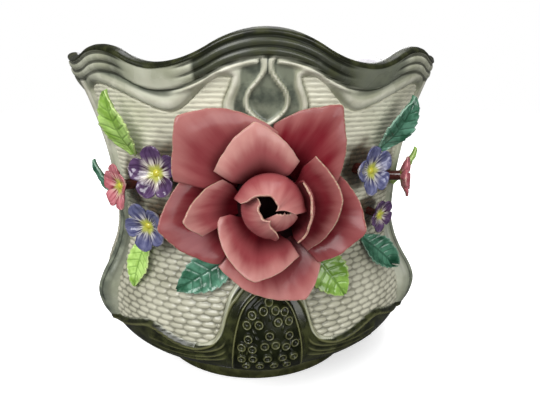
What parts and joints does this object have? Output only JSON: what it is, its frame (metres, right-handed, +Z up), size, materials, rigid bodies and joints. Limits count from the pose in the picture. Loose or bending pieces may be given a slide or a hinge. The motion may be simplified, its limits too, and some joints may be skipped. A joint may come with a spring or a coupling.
{
  "type": "cachepot",
  "caption": "Round earthenware cachepot with waved rim, waisted wall, bulging belly with raised arches and foot ring, and an applied rose, violets and leaves.",
  "frame": {"origin": "centre of the underside of the foot, on the axis of the pot", "axes": "+Z up along the axis of the pot, -Y to the side with the rose, +X to the right of someone facing the rose"},
  "size_m": [0.2498, 0.2785, 0.225],
  "materials": {
    "body_glaze": "glossy translucent lead glaze, cream over relief and olive green in the bands",
    "rose_glaze": "glossy rose-red lead glaze, pale at the edges",
    "violet_glaze": "glossy purple glaze",
    "blue_glaze": "glossy blue-violet glaze",
    "pink_glaze": "glossy pink-red glaze",
    "stalk_glaze": "glossy brown-green glaze",
    "light_leaf_glaze": "glossy light green glaze",
    "teal_leaf_glaze": "glossy blue-green glaze"
  },
  "bodies": {
    "root": {"pot_body": "body_glaze", "rose_core": "rose_glaze", "rose_inner_petal_1": "rose_glaze", "rose_inner_petal_2": "rose_glaze", "rose_inner_petal_3": "rose_glaze", "rose_inner_petal_4": "rose_glaze", "rose_middle_petal_1": "rose_glaze", "rose_middle_petal_2": "rose_glaze", "rose_middle_petal_3": "rose_glaze", "rose_middle_petal_4": "rose_glaze", "rose_outer_petal_1": "rose_glaze", "rose_outer_petal_2": "rose_glaze", "rose_outer_petal_3": "rose_glaze", "rose_outer_petal_4": "rose_glaze", "rose_outer_petal_5": "rose_glaze", "violet_left_upper": "violet_glaze", "violet_left_upper_stalk": "stalk_glaze", "violet_left_lower": "blue_glaze", "violet_left_lower_stalk": "stalk_glaze", "blossom_left": "pink_glaze", "blossom_left_stalk": "stalk_glaze", "violet_right_upper": "blue_glaze", "violet_right_upper_stalk": "stalk_glaze", "violet_right_lower": "violet_glaze", "violet_right_lower_stalk": "stalk_glaze", "blossom_right": "pink_glaze", "blossom_right_stalk": "stalk_glaze", "leaf_upper_left": "light_leaf_glaze", "leaf_lower_left": "light_leaf_glaze", "leaf_bottom_right": "light_leaf_glaze", "leaf_far_right": "light_leaf_glaze", "leaf_far_left": "teal_leaf_glaze", "leaf_bottom_left": "teal_leaf_glaze", "leaf_right_curled": "teal_leaf_glaze", "leaf_upper_right": "teal_leaf_glaze"}
  },
  "joints": []
}
